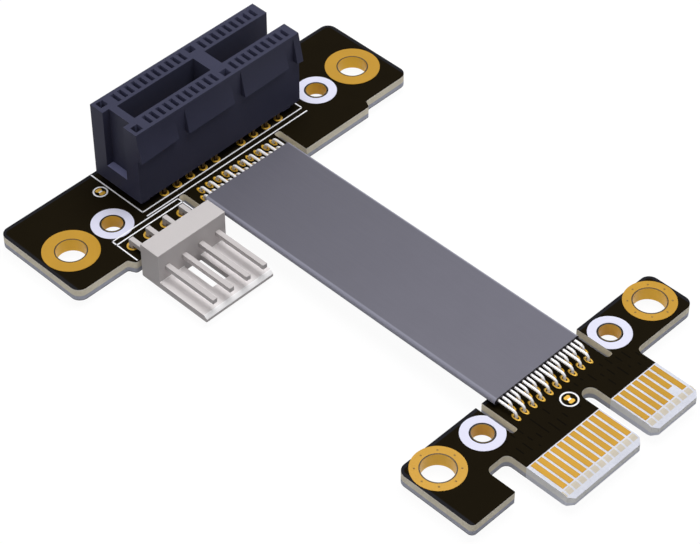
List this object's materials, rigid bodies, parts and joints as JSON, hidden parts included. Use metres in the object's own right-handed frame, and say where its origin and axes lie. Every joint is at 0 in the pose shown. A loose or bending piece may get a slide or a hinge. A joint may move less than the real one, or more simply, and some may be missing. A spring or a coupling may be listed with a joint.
{
  "type": "pcie extension cable",
  "caption": "Flat cable that joins an open-ended one-lane card slot board with a power header to a plug board with a gold card edge",
  "frame": {"origin": "midway between the slot board's two large holes, on its top face", "axes": "+X along both boards, +Y from the plug board to the slot board, +Z out of the card slot's mouth"},
  "size_m": [0.052, 0.071, 0.0139],
  "materials": {
    "board": "black solder mask over glass laminate",
    "gold": "thin gold plating",
    "ink": "white printing ink",
    "navy_plastic": "moulded, fine satin",
    "ivory_plastic": "moulded, off-white",
    "grey_jacket": "smooth flexible jacket",
    "tin": "bright tinned metal"
  },
  "bodies": {
    "root": {"slot_board": "board", "plug_board": "board", "slot_mount_plating": "gold", "slot_guide_plating": "gold", "slot_terminal_pads": "gold", "header_pads": "gold", "slot_cable_pads": "gold", "slot_jumper_pads": "gold", "plug_mount_plating": "gold", "plug_guide_plating": "gold", "plug_cable_pads": "gold", "plug_jumper_pads": "gold", "plug_fingers_top": "gold", "plug_fingers_bottom": "gold", "slot_printing": "ink", "plug_printing": "ink", "slot_housing": "navy_plastic", "slot_contacts_front": "gold", "slot_contacts_rear": "gold", "header_housing": "ivory_plastic", "header_pins": "tin", "cable_jacket": "grey_jacket", "cable_wires": "tin", "plug_cable_joints": "tin"}
  },
  "joints": []
}
